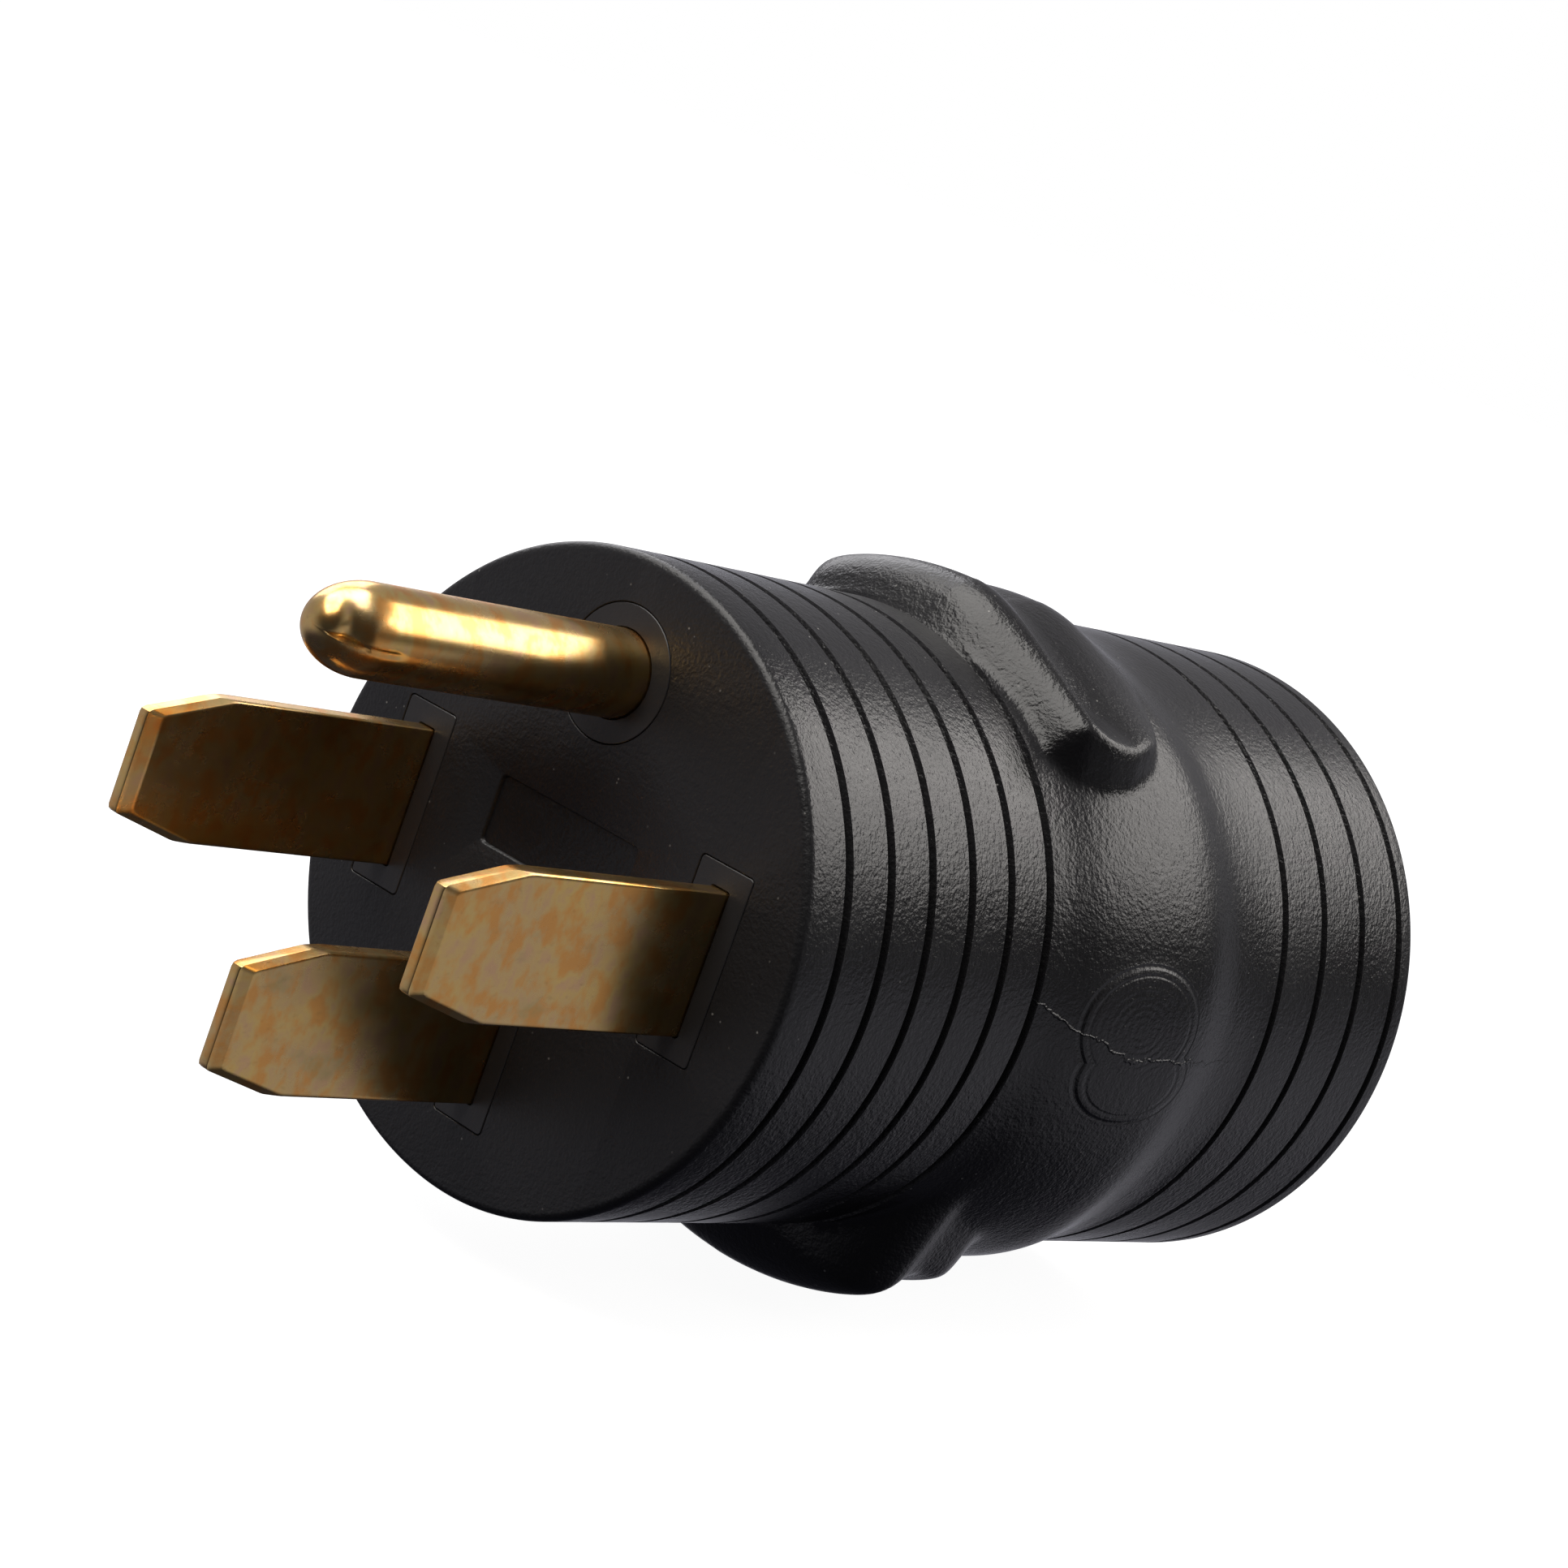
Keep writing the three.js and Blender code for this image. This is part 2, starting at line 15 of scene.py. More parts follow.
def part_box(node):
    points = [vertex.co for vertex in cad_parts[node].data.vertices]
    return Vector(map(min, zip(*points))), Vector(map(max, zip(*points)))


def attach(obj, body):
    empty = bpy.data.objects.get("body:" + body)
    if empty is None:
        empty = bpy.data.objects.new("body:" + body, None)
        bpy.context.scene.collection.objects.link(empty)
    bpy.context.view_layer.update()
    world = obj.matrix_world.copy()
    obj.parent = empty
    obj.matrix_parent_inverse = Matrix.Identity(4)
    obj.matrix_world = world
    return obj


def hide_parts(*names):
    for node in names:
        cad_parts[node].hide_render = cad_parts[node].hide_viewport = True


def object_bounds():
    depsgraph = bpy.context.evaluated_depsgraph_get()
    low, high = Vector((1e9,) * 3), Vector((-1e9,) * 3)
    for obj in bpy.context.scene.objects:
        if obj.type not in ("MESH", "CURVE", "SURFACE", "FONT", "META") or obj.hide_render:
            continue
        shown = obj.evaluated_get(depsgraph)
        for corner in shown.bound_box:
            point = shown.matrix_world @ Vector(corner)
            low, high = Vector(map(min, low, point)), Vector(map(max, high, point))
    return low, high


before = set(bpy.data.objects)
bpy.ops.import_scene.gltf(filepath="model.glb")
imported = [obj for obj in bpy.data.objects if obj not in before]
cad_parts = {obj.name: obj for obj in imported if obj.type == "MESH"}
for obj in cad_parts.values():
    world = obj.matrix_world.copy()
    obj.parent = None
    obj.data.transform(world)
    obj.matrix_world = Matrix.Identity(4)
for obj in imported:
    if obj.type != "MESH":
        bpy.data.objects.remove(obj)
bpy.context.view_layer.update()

MM = 0.001


def box_mm(node):
    """Lowest and highest corner of a CAD node, in millimetres."""
    low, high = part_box(node)
    return low / MM, high / MM


def centre_of(node):
    """Middle of a node across the body, as (x, z)."""
    low, high = box_mm(node)
    return (low.x + high.x) / 2, (low.z + high.z) / 2


# ---- Driving sizes ----

BODY_LENGTH = box_mm("outer_jacket")[1].y
INSERT_RADIUS = box_mm("plug_insert_front")[1].x
FACE_RADIUS = 26.9
REAR_RADIUS = 28.5
EDGE_ROUND = 0.8
FACE_WALL = 3.0
PIECE_GAP = 0.3
BORE_RADIUS = INSERT_RADIUS + PIECE_GAP
BORE_CHAMFER = 0.35
ROUND_STEPS = 128

# The rib of the socket insert, which locks into a groove in the bore.
RIB_START, RIB_END = 70.0, 73.0
RIB_RADIUS = box_mm("socket_insert_face")[1].x

# Ring grooves round both ends, and how far from the middle of each one the jacket has rings of vertices.
GROOVES = [4.9 + 5.24 * i for i in range(6)] + [64.7 + 6.38 * i for i in range(4)]
GROOVE_HALF_WIDTH = 0.48
GROOVE_DEPTH = 0.85
GROOVE_SQUARENESS = 2.2
GROOVE_STATIONS = [0, 0.14, 0.3, 0.42, 0.5, 0.62]

# Body radius between the two grooved ends, as (distance from the face, radius), and where the crease is
# in that profile. The profile is then stretched so that its crease falls where CREASE says.
COLLAR = [(31.5, 26.95), (33, 27.3), (36, 28.2), (40, 29.0), (44, 29.5), (46.4, 29.68), (48.4, 29.6),
          (50.2, 29.28), (52, 28.82), (53.8, 28.47), (56, 28.3), (64, 28.3)]
COLLAR_CREASE = 47.5

# A place between the collar's foot and the rear rim, as (distance from the face, radius).
REAR_MIDDLE = (76, 28.4)

# How far the crease behind the collar sits from the face, as (degrees from the top, distance).
CREASE = [(0, 47.0), (30, 48.4), (45, 49.4), (60, 50.2), (90, 51.6), (110, 51.8), (130, 53.3), (140, 54.8),
          (160, 57.0), (180, 57.5)]

# Finger grips, as (distance from the face, value): the height of the crest, and for each side of the crest
# the radius of the arc it falls along, how far it reaches sideways and how steep its end wall is. The top one
# falls towards +X along a nearly straight line instead, with a slope, and its valley fills up at the end.
GRIP_CREST = [(30.8, 26.2), (31.6, 27.6), (32.6, 29.3), (33.6, 30.4), (34.8, 31.1), (36, 31.3), (37.3, 31.0),
              (38.8, 30.3), (40.4, 30.0), (42.4, 30.2), (44.6, 30.5), (46.4, 30.4), (48.2, 29.9), (50, 29.0),
              (52, 27.6)]
GRIP_TOP_NEAR = {
    "slope": [(31, 0.6), (33.4, 0.62), (34.8, 0.58), (36, 0.555), (37.4, 0.61), (38.4, 0.63), (39.6, 0.575),
              (41, 0.51), (46, 0.51)],
    "reach": [(30.6, 10), (31.4, 13.5), (32.2, 14.8), (33.2, 15.5), (34, 16.0), (34.8, 16.7), (35.6, 17.3),
              (36.4, 17.7), (37.9, 18.3), (39.6, 18.5), (41.2, 18.5), (42.4, 18.25), (43.8, 17.85),
              (45.6, 16.9), (46.7, 15.6), (47.6, 13.5), (49, 9.5), (51, 4)],
    "end": [(30.8, 15), (33, 18.5), (34, 21.4), (34.9, 23.5), (36, 24.0), (38, 23.8), (41, 23.5), (44, 23.4),
            (46, 22.8), (48, 20.5), (52, 16)],
    "wall": 12.0,
}
GRIP_BOTTOM_NEAR = {
    "arc": [(31, 31), (34, 37), (37, 37.4), (40, 34), (46, 32), (50, 30)],
    "reach": [(31, 8), (32.4, 12.5), (34, 15.2), (36, 16.8), (39, 17.1), (42, 17.1), (44.6, 16.6),
              (46.8, 15.2), (49, 12), (52, 6)],
    "wall": 2.7,
}
GRIP_FAR = {
    "arc": GRIP_BOTTOM_NEAR["arc"],
    "reach": [(31, 10), (32, 13), (33, 14.4), (34, 15.1), (36, 15.9), (39, 16.3), (42, 16.3), (44.6, 15.8),
              (46.8, 14.4), (49, 11), (52, 5)],
    "wall": 7.0,
}
GRIP_SHIFT = 2.5
GRIP_EDGE = 0.6
GRIP_FILLET = 0.5

# The surface of a grip is found by halving, between a lowest and a highest distance from the axis.
GRIP_LOWEST, GRIP_HIGHEST = 18.0, 36.0
GRIP_HALVINGS = 26

# The top grip's +X side: how sharp its edge and how round its crown is, and how its end is filled.
GRIP_TOP_EDGE = 0.2
GRIP_CROWN = 5
GRIP_END_REACH = 17.8
GRIP_END_SLOPE = 0.2
GRIP_END_BLEND = 0.5

# Its front foot sweeps back towards +X: by how much for each millimetre sideways, from where and how far
# sideways, and where that ends and how long it fades along the body.
GRIP_SWEEP = 0.11
GRIP_SWEEP_FROM, GRIP_SWEEP_SPAN = 4, 12
GRIP_SWEEP_END, GRIP_SWEEP_FADE = 36.5, 3

# Moulding gate on the +X side: two overlapping ovals, as (distance from the face, degrees from the top,
# half length along the body, half length round it). Its pads are low, with soft edges. They carry fine rings,
# and a second line inside their outline.
GATE_OVALS = [(43.9, 86.3, 7.2, 5.4), (45.2, 95.2, 6.9, 4.1)]
GATE_RADIUS = 29.2
GATE_RISE = 0.12
GATE_EDGE = 0.6
GATE_RINGS = 0.62
GATE_SECOND_LINE = 0.75

# Raised lands of the plug insert, the slots that its prongs leave through, and the blank panel in the face.
LAND_HALF = (2.8, 7.8)
LAND_CORNER = 0.35
LAND_GAP = 0.07
PIN_LAND_RADIUS = 5.6
PRONG_GAP = 0.07
CHAMFER = 0.06
LABEL_RECESS = {"centre": (0.3, 3.0), "half": (8.0, 2.9), "corner": 0.5, "depth": 0.35}

# Prongs, across the body and where their shoulders lie along it.
BLADES = ("hot_blade_x", "hot_blade_y", "neutral_blade")
BLADE_HALF_WIDTH = 5.95
BLADE_HALF_THICKNESS = 0.89
BLADE_CORNER = 0.25
SHOULDER_HALF_WIDTH = 7.4
SHOULDER_START, SHOULDER_END = 6.3, 8.3
PIN_RADIUS = 3.6
PIN_FLANGE = 4.8
PIN_BORE = 2.3
PIN_STEPS = 48


# ---- Geometry helpers ----


def smooth_curve(points, where):
    """A curve through the points, as (position, value), read at where."""
    xs, ys = (np.array(v, float) for v in zip(*points))
    slopes = np.gradient(ys, xs)
    t = np.clip(np.asarray(where, float), xs[0], xs[-1])
    i = np.clip(np.searchsorted(xs, t, "right") - 1, 0, len(xs) - 2)
    step = xs[i + 1] - xs[i]
    u = (t - xs[i]) / step
    return (
        (2 * u**3 - 3 * u**2 + 1) * ys[i]
        + (u**3 - 2 * u**2 + u) * step * slopes[i]
        + (3 * u**2 - 2 * u**3) * ys[i + 1]
        + (u**3 - u**2) * step * slopes[i + 1]
    )


def soft_max(a, b, width):
    """The larger of two surfaces, with the corner between them rounded over a width."""
    return 0.5 * (a + b + np.sqrt((a - b) ** 2 + width**2))


def ring(bm, points, along):
    """Vertices at (x, z) points, all at one distance along Y."""
    return [bm.verts.new((x * MM, along * MM, z * MM)) for x, z in points]


def bridge(bm, *rings):
    """Quads between neighbouring closed rings of the same number of vertices."""
    for first, second in zip(rings, rings[1:]):
        for i, vert in enumerate(first):
            j = (i + 1) % len(first)
            bm.faces.new((vert, first[j], second[j], second[i]))


def fill(bm, *loops):
    """A flat face inside the first loop, with the other loops as holes in it."""
    edges = []
    for loop in loops:
        for i, vert in enumerate(loop):
            ends = (vert, loop[(i + 1) % len(loop)])
            edges.append(bm.edges.get(ends) or bm.edges.new(ends))
    bmesh.ops.triangle_fill(bm, edges=edges, use_beauty=True)


def circle(radius, steps, x=0.0, z=0.0):
    angles = [2 * math.pi * i / steps for i in range(steps)]
    return [(x + radius * math.sin(a), z + radius * math.cos(a)) for a in angles]


def rounded_box(half_x, half_z, corner, x=0.0, z=0.0, turn=0.0):
    """An outline of a box with round corners, turned by an angle about its centre."""
    steps = 4
    points = []
    for quarter, (sx, sz) in enumerate([(1, 1), (-1, 1), (-1, -1), (1, -1)]):
        for i in range(steps + 1):
            a = math.pi / 2 * (quarter + i / steps)
            px = sx * (half_x - corner) + corner * math.cos(a)
            pz = sz * (half_z - corner) + corner * math.sin(a)
            points.append((
                x + px * math.cos(turn) + pz * math.sin(turn),
                z - px * math.sin(turn) + pz * math.cos(turn),
            ))
    return points


def add_piece(name, bm, material, slot, *nodes):
    """Turns bm into a piece that stands for CAD nodes and has the given material. The slot is not used."""
    bmesh.ops.recalc_face_normals(bm, faces=bm.faces)
    mesh = bpy.data.meshes.new(name)
    bm.to_mesh(mesh)
    bm.free()
    mesh.shade_smooth()
    mesh.set_sharp_from_angle(angle=math.radians(40))
    mesh.materials.append(material)
    piece = bpy.data.objects.new(name, mesh)
    bpy.context.scene.collection.objects.link(piece)
    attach(piece, "root")
    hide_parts(*nodes)


# ---- Material helpers ----


def new_material(name, **sockets):
    """A material, its tree and its principled shader, with the values that are the same all over."""
    material = bpy.data.materials.new(name)
    material.use_nodes = True
    tree = material.node_tree
    shader = tree.nodes["Principled BSDF"]
    for key, value in sockets.items():
        shader.inputs[key.replace("_", " ").title()].default_value = value
    return material, tree, shader


def add_node(tree, kind, inputs, **settings):
    """A node with its settings, and its inputs given as values or as sockets to link."""
    made = tree.nodes.new(kind)
    for key, value in settings.items():
        setattr(made, key, value)
    for key, value in inputs.items():
        if isinstance(value, bpy.types.NodeSocket):
            tree.links.new(value, made.inputs[key])
        else:
            made.inputs[key].default_value = value
    return made


def place(tree, stretch=(1, 1, 1)):
    """Object coordinates, stretched along each axis."""
    coords = add_node(tree, "ShaderNodeTexCoord", {})
    inputs = {0: coords.outputs["Object"], 1: stretch}
    return add_node(tree, "ShaderNodeVectorMath", inputs, operation="MULTIPLY").outputs[0]


def along_direction(tree, vector, direction):
    """How far a vector points along a direction."""
    inputs = {0: vector, 1: direction}
    return add_node(tree, "ShaderNodeVectorMath", inputs, operation="DOT_PRODUCT").outputs["Value"]


def noise(tree, vector, scale, detail=3.0, roughness=0.55):
    made = add_node(tree, "ShaderNodeTexNoise",
                    {"Vector": vector, "Scale": scale, "Detail": detail, "Roughness": roughness})
    return made.outputs["Fac"]


def math_node(tree, operation, a, b=0.0):
    return add_node(tree, "ShaderNodeMath", {0: a, 1: b}, operation=operation).outputs[0]


def remap(tree, value, low, high, new_low=0.0, new_high=1.0):
    made = add_node(tree, "ShaderNodeMapRange", {
        "Value": value, "From Min": low, "From Max": high, "To Min": new_low, "To Max": new_high})
    return made.outputs["Result"]


def mix_colour(tree, factor, a, b):
    made = tree.nodes.new("ShaderNodeMix")
    made.data_type = "RGBA"
    for index, value in ((0, factor), (6, a), (7, b)):
        if isinstance(value, bpy.types.NodeSocket):
            tree.links.new(value, made.inputs[index])
        elif index == 0:
            made.inputs[index].default_value = value
        else:
            made.inputs[index].default_value = (*value, 1.0)
    return made.outputs[2]


def bump(tree, height, distance, strength=1.0, normal=None):
    inputs = {"Height": height, "Distance": distance * MM, "Strength": strength}
    if normal is not None:
        inputs["Normal"] = normal
    return add_node(tree, "ShaderNodeBump", inputs).outputs["Normal"]


# ---- Materials ----


def moulded_plastic(name, colour, roughness, grain, grain_size=0.32, specks=0.0):
    """Matt moulded plastic: pebbled grain, cloudy colour and polish, pale rubbed edges and specks of dust."""
    material, tree, shader = new_material(name)
    vector = place(tree)
    pebble = noise(tree, vector, 1 / (grain_size * MM), 1.5, 0.5)
    coarse = noise(tree, vector, 1 / (2.2 * grain_size * MM), 2.0, 0.5)
    clouds = noise(tree, vector, 1 / (14 * MM), 4.0, 0.6)
    lighter = tuple(c * 1.5 + 0.0015 for c in colour)
    cloudy = mix_colour(tree, remap(tree, clouds, 0.3, 0.7, 0.0, 0.55), colour, lighter)
    grainy = mix_colour(tree, remap(tree, pebble, 0.5, 0.75, 0.0, 0.35), cloudy, lighter)
    geometry = add_node(tree, "ShaderNodeNewGeometry", {})
    rubbed = remap(tree, geometry.outputs["Pointiness"], 0.515, 0.56, 0.0, 0.3)
    worn = mix_colour(tree, rubbed, grainy, tuple(c * 3 + 0.008 for c in colour))
    if specks:
        cells = add_node(tree, "ShaderNodeTexVoronoi", {"Vector": vector, "Scale": 1 / (1.2 * MM)})
        dots = remap(tree, cells.outputs["Distance"], 0.05, 0.1, specks, 0.0)
        patchy = remap(tree, noise(tree, vector, 1 / (4 * MM)), 0.5, 0.6)
        worn = mix_colour(tree, math_node(tree, "MULTIPLY", dots, patchy), worn, (0.3, 0.29, 0.27))
    tree.links.new(worn, shader.inputs["Base Color"])
    polish = remap(tree, clouds, 0.3, 0.7, roughness - 0.05, roughness + 0.05)
    tree.links.new(polish, shader.inputs["Roughness"])
    relief = bump(tree, pebble, 0.05, grain, bump(tree, coarse, 0.12, grain * 0.55))
    tree.links.new(relief, shader.inputs["Normal"])
    return material, tree, shader, relief


def oval_depth(tree, along, turn, oval):
    """How far inside an oval on the +X side a place is, in millimetres, from its distance and its angle."""
    middle, degrees, half_along, half_round = oval
    step_along = math_node(tree, "DIVIDE", math_node(tree, "SUBTRACT", along, middle), half_along)
    step_round = math_node(tree, "MULTIPLY", math_node(tree, "SUBTRACT", turn, math.radians(degrees)),
                           GATE_RADIUS / half_round)
    squares = math_node(tree, "ADD", math_node(tree, "MULTIPLY", step_along, step_along),
                        math_node(tree, "MULTIPLY", step_round, step_round))
    share = math_node(tree, "SUBTRACT", 1.0, math_node(tree, "SQRT", squares))
    return math_node(tree, "MULTIPLY", share, half_round)


def jacket_plastic():
    """The jacket's plastic, rougher on the plug face, with the gate mark and the flow line of its +X side."""
    black = (0.0065, 0.0062, 0.0068)
    material, tree, shader, relief = moulded_plastic("jacket_plastic", black, 0.28, 0.9, 0.27, specks=0.75)
    coords = place(tree)
    scaled = place(tree, (1 / MM, 1 / MM, 1 / MM))
    parts = add_node(tree, "ShaderNodeSeparateXYZ", {"Vector": scaled})
    x, along, z = parts.outputs
    turn = math_node(tree, "ARCTAN2", x, z)
    ovals = [oval_depth(tree, along, turn, oval) for oval in GATE_OVALS]
    inside = math_node(tree, "MAXIMUM", *ovals)
    outline = remap(tree, math_node(tree, "ABSOLUTE", inside), 0.05, 0.26, 1.0, 0.0)
    next_line = math_node(tree, "ABSOLUTE", math_node(tree, "SUBTRACT", inside, GATE_SECOND_LINE))
    second = remap(tree, next_line, 0.04, 0.2, 0.4, 0.0)
    waves = math_node(tree, "COSINE", math_node(tree, "MULTIPLY", ovals[0], 2 * math.pi / GATE_RINGS))
    worn = remap(tree, noise(tree, coords, 1 / (3 * MM)), 0.35, 0.65, 0.2, 1.0)
    rings = math_node(tree, "MULTIPLY", math_node(tree, "MULTIPLY", waves, 0.13),
                      math_node(tree, "MULTIPLY", worn, remap(tree, ovals[0], 0.9, 1.5)))
    mark = math_node(tree, "SUBTRACT", rings, math_node(tree, "MAXIMUM", outline, second))
    on_side = remap(tree, x, 24, 26)
    marked = math_node(tree, "MULTIPLY", mark, on_side)

    wander = remap(tree, noise(tree, coords, 1 / (2.4 * MM), 3.0), 0.25, 0.75, -0.5, 0.5)
    level = remap(tree, along, 30.5, 43, 2.9, -0.7)
    above = math_node(tree, "SUBTRACT", math_node(tree, "SUBTRACT", z, level), wander)
    near = remap(tree, math_node(tree, "ABSOLUTE", above), 0.03, 0.14, 1.0, 0.0)
    stretch = math_node(tree, "MULTIPLY", remap(tree, along, 31, 32.5), remap(tree, along, 50, 62, 1.0, 0.0))
    flow = math_node(tree, "MULTIPLY", math_node(tree, "MULTIPLY", near, on_side), stretch)
    gate = bump(tree, marked, 0.1, 1.0, relief)
    tree.links.new(bump(tree, flow, 0.07, 1.0, gate), shader.inputs["Normal"])
    polish = shader.inputs["Roughness"].links[0].from_socket
    matt_face = math_node(tree, "ADD", polish, remap(tree, along, 0.2, 0.7, 0.16, 0.0))
    tree.links.new(matt_face, shader.inputs["Roughness"])
    return material


def aged_brass():
    """Tarnished brass sheet: tan, orange and rose blotches, dull patches and fine drawing lines."""
    material, tree, shader = new_material("aged_brass", metallic=1.0)
    vector = place(tree, (1, 0.8, 1.2))
    broad = noise(tree, vector, 1 / (5.5 * MM), 4.0, 0.6)
    blotch = noise(tree, place(tree, (0.8, 1.0, 0.8)), 1 / (1.9 * MM), 3.0, 0.55)
    fine = noise(tree, vector, 1 / (0.7 * MM), 3.0)
    base = mix_colour(tree, remap(tree, broad, 0.35, 0.65), (0.92, 0.63, 0.22), (0.87, 0.60, 0.28))
    orange = mix_colour(tree, remap(tree, blotch, 0.47, 0.62, 0.0, 0.75), base, (0.97, 0.43, 0.10))
    rose = mix_colour(tree, remap(tree, blotch, 0.45, 0.33, 0.0, 0.8), orange, (0.86, 0.53, 0.29))
    olive = mix_colour(tree, remap(tree, broad, 0.60, 0.72, 0.0, 0.5), rose, (0.60, 0.49, 0.20))
    speckled = mix_colour(tree, remap(tree, fine, 0.6, 0.8, 0.0, 0.3), olive, (0.45, 0.27, 0.10))
    tree.links.new(speckled, shader.inputs["Base Color"])
    dull = remap(tree, broad, 0.3, 0.7, 0.22, 0.30)
    tree.links.new(dull, shader.inputs["Roughness"])
    drawn = noise(tree, place(tree, (1, 0.08, 1)), 1 / (0.25 * MM), 2.0)
    relief = bump(tree, drawn, 0.01, 0.3, bump(tree, broad, 0.05, 0.2))
    tree.links.new(relief, shader.inputs["Normal"])
    return material


def worked_metal(name, colour, shade, roughness, line_stretch, line_size):
    """Bright drawn or rolled metal with fine lines along one axis and slight clouding."""
    material, tree, shader = new_material(name, metallic=1.0)
    clouds = noise(tree, place(tree), 1 / (3 * MM), 4.0)
    lines = noise(tree, place(tree, line_stretch), 1 / (line_size * MM), 2.0)
    cloudy = mix_colour(tree, remap(tree, clouds, 0.35, 0.7), colour, shade)
    polish = remap(tree, lines, 0.3, 0.7, roughness - 0.08, roughness + 0.08)
    tree.links.new(cloudy, shader.inputs["Base Color"])
    tree.links.new(polish, shader.inputs["Roughness"])
    tree.links.new(bump(tree, lines, 0.02, 0.5), shader.inputs["Normal"])
    return material


def vinyl(name, colour):
    """Smooth extruded insulation with slight ripples and scuffs."""
    material, tree, shader = new_material(name)
    ripple = noise(tree, place(tree, (1, 0.3, 1)), 1 / (1.2 * MM), 3.0)
    scuff = noise(tree, place(tree), 1 / (2 * MM), 5.0, 0.7)
    faded = tuple(min(1.0, c * 1.25 + 0.02) for c in colour)
    tree.links.new(mix_colour(tree, remap(tree, scuff, 0.45, 0.7), colour, faded), shader.inputs["Base Color"])
    tree.links.new(remap(tree, scuff, 0.3, 0.7, 0.35, 0.55), shader.inputs["Roughness"])
    tree.links.new(bump(tree, ripple, 0.05, 0.4), shader.inputs["Normal"])
    return material


insert_plastic = moulded_plastic("insert_plastic", (0.013, 0.0125, 0.013), 0.4, 0.25, 0.26)[0]
core_plastic = moulded_plastic("core_plastic", (0.36, 0.33, 0.27), 0.6, 0.3, 0.5)[0]
brass = aged_brass()
spring_brass = worked_metal("spring_brass", (0.83, 0.64, 0.30), (0.70, 0.50, 0.22), 0.28, (1, 0.1, 1), 0.2)
tinned = worked_metal("tinned_steel", (0.72, 0.72, 0.71), (0.55, 0.55, 0.56), 0.34, (1, 0.4, 1), 0.5)
copper = worked_metal("stranded_copper", (0.86, 0.48, 0.30), (0.62, 0.30, 0.18), 0.36, (1, 0.12, 1), 0.35)


# ---- Jacket ----

# Where the jacket's rings and columns go besides its grooves, as (start, end, step): in millimetres along
# the collar and the waist, and in degrees round it from the top.
COLLAR_STATIONS = (32.0, 51.0, 0.36)
WAIST_STATIONS = (51.4, 63.9, 0.8)
TURN_STATIONS = [(-52, 30, 0.8), (30, 52, 0.5), (52, 72, 1.2), (72, 106, 0.6), (106, 128, 1.2),
                 (128, 150, 0.5), (150, 232, 0.8), (232, 308, 1.25)]


def along_stations():
    """Distances from the face at which the jacket has a ring, close together at the grooves and grips."""
    stations = [g + side * s for g in GROOVES for s in GROOVE_STATIONS for side in (-1, 1)]
    stations += list(np.arange(*COLLAR_STATIONS)) + list(np.arange(*WAIST_STATIONS))
    return np.array(sorted(set(round(s, 4) for s in stations)))


def angle_stations():
    """Angles round the jacket, close together at the gate and the grips, in radians."""
    angles = []
    for start, end, step in TURN_STATIONS:
        angles += list(np.linspace(start, end, round((end - start) / step), endpoint=False))
    return np.radians(angles)


def grip_radius(along, angle):
    """Distance from the axis to the surface of the top or bottom grip, or 0 away from them."""
    upright = np.abs(np.cos(angle))
    sideways = REAR_RADIUS * np.sin(angle) - GRIP_SHIFT
    swept = GRIP_SWEEP * np.clip(sideways - GRIP_SWEEP_FROM, 0, GRIP_SWEEP_SPAN)
    in_front = np.clip((GRIP_SWEEP_END - along) / GRIP_SWEEP_FADE, 0, 1)
    crest = smooth_curve(GRIP_CREST, along - np.where(np.cos(angle) > 0, swept * in_front, 0.0))
    arc = smooth_curve(GRIP_FAR["arc"], along)
    slope = smooth_curve(GRIP_TOP_NEAR["slope"], along)
    end = smooth_curve(GRIP_TOP_NEAR["end"], along)
    grips = (GRIP_FAR, GRIP_TOP_NEAR, GRIP_BOTTOM_NEAR)
    reaches = [smooth_curve(grip["reach"], along) for grip in grips]
    walls = [grip["wall"] for grip in grips]
    low, high = np.full(along.shape, GRIP_LOWEST), np.full(along.shape, GRIP_HIGHEST)
    for _ in range(GRIP_HALVINGS):
        middle = (low + high) / 2
        across = middle * np.sin(angle) - GRIP_SHIFT
        side = np.select([across < 0, np.cos(angle) > 0], [0, 1], 2)
        edge = np.where(side == 1, GRIP_TOP_EDGE, GRIP_EDGE)
        past = soft_max(np.abs(across) - np.choose(side, reaches), 0.0, edge)
        curved = arc * (1 - np.sqrt(np.clip(1 - (across / arc) ** 2, 0, 1)))
        straight = crest - slope * (np.hypot(across, GRIP_CROWN) - GRIP_CROWN)
        filled = soft_max(straight, end + GRIP_END_SLOPE * (GRIP_END_REACH - across), GRIP_END_BLEND)
        top = np.where(side == 1, filled, crest - curved)
        inside = middle * upright < top - np.choose(side, walls) * past
        low, high = np.where(inside, middle, low), np.where(inside, high, middle)
    covered = (upright > 0.3) & (along > GRIP_CREST[0][0]) & (along < GRIP_CREST[-1][0])
    return np.where(covered, low, 0.0)


def gate_rise(along, angle):
    """How far the gate mark stands out of the jacket: two low oval pads that overlap."""
    inside = np.full(along.shape, -1.0)
    for middle, degrees, half_along, half_round in GATE_OVALS:
        step_along = (along - middle) / half_along
        step_round = (angle - np.radians(degrees)) * GATE_RADIUS / half_round
        inside = np.maximum(inside, (1 - np.hypot(step_along, step_round)) * half_round)
    return GATE_RISE * np.clip(inside / GATE_EDGE + 0.5, 0, 1)


